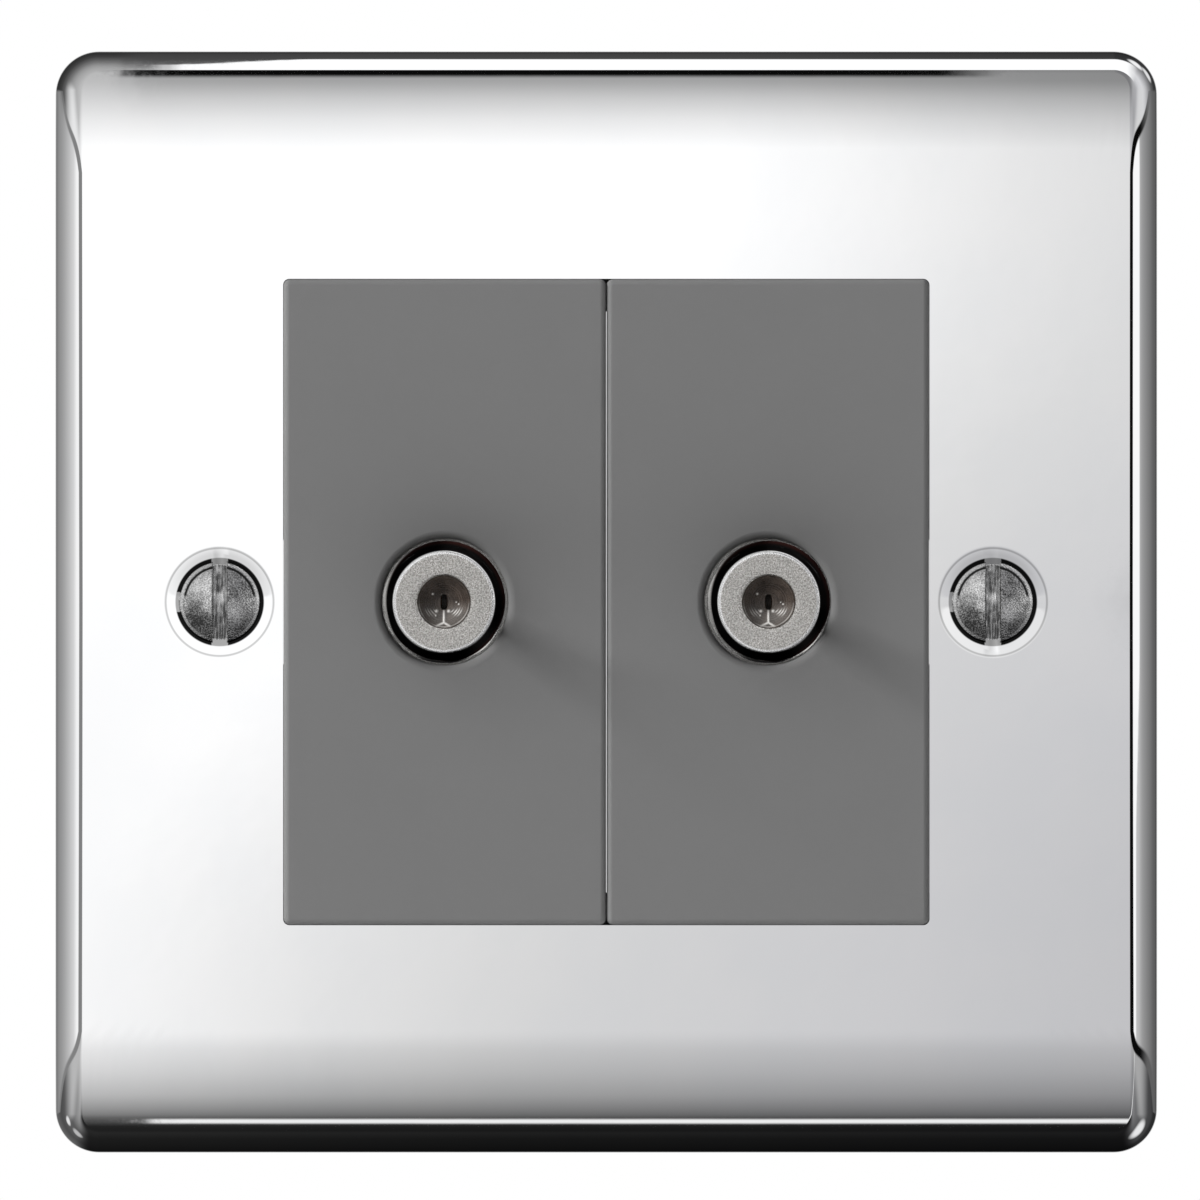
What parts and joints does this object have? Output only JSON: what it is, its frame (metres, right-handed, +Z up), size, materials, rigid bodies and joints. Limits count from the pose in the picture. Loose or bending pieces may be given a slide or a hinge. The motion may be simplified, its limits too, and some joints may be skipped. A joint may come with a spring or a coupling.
{
  "type": "satellite socket outlet",
  "caption": "Square chromed wall outlet plate with side-by-side grey modules that each carry a screw-on satellite cable socket, fixed by raised slotted screws.",
  "frame": {"origin": "centre of the faceplate, on the wall plane at the back edge of its rim", "axes": "+X right and +Z up as seen from the front, +Y into the wall, so the front faces -Y"},
  "size_m": [0.086, 0.0403, 0.086],
  "materials": {
    "polished_chrome": "mirror-polished plating on pressed steel",
    "screw_nickel": "bright nickel plating, slightly mottled",
    "grey_moulding": "fine-textured mid grey moulding",
    "frame_moulding": "plain black moulding",
    "connector_nickel": "satin nickel-plated turned brass",
    "brown_insulator": "dark brown insulator",
    "contact_bronze": "spring bronze",
    "zinc_plate": "bright zinc-plated steel",
    "spring_steel": "phosphated spring steel",
    "terminal_brass": "machined brass"
  },
  "bodies": {
    "outlet": {"faceplate": "polished_chrome", "support_frame": "frame_moulding", "module_housing_left": "grey_moulding", "connector_barrel_left": "connector_nickel", "front_insulator_left": "brown_insulator", "rear_insulator_left": "brown_insulator", "centre_contact_left": "contact_bronze", "clamp_plate_left": "zinc_plate", "lock_washer_left": "zinc_plate", "hex_nut_left": "connector_nickel", "clamp_screw_upper_left": "zinc_plate", "clamp_screw_lower_left": "zinc_plate", "retainer_upper_left": "spring_steel", "retainer_lower_left": "spring_steel", "module_housing_right": "grey_moulding", "connector_barrel_right": "connector_nickel", "front_insulator_right": "brown_insulator", "rear_insulator_right": "brown_insulator", "centre_contact_right": "contact_bronze", "clamp_plate_right": "zinc_plate", "lock_washer_right": "zinc_plate", "hex_nut_right": "connector_nickel", "clamp_screw_upper_right": "zinc_plate", "clamp_screw_lower_right": "zinc_plate", "retainer_upper_right": "spring_steel", "retainer_lower_right": "spring_steel", "earth_bracket": "zinc_plate", "earth_block": "terminal_brass"},
    "left_fixing": {"fixing_screw_left": "screw_nickel"},
    "right_fixing": {"fixing_screw_right": "screw_nickel"},
    "terminal_screw": {"earth_screw": "terminal_brass"}
  },
  "joints": [
    {"name": "left_fixing_turn", "type": "hinge", "parent": "outlet", "child": "left_fixing", "pos_m": [-0.03015, 0, 0], "axis": [0, 1, 0], "continuous": true},
    {"name": "right_fixing_turn", "type": "hinge", "parent": "outlet", "child": "right_fixing", "pos_m": [0.03015, 0, 0], "axis": [0, 1, 0], "continuous": true},
    {"name": "terminal_screw_travel", "type": "slide", "parent": "outlet", "child": "terminal_screw", "axis": [0, -1, 0], "range_m": [0, 0.003]}
  ]
}
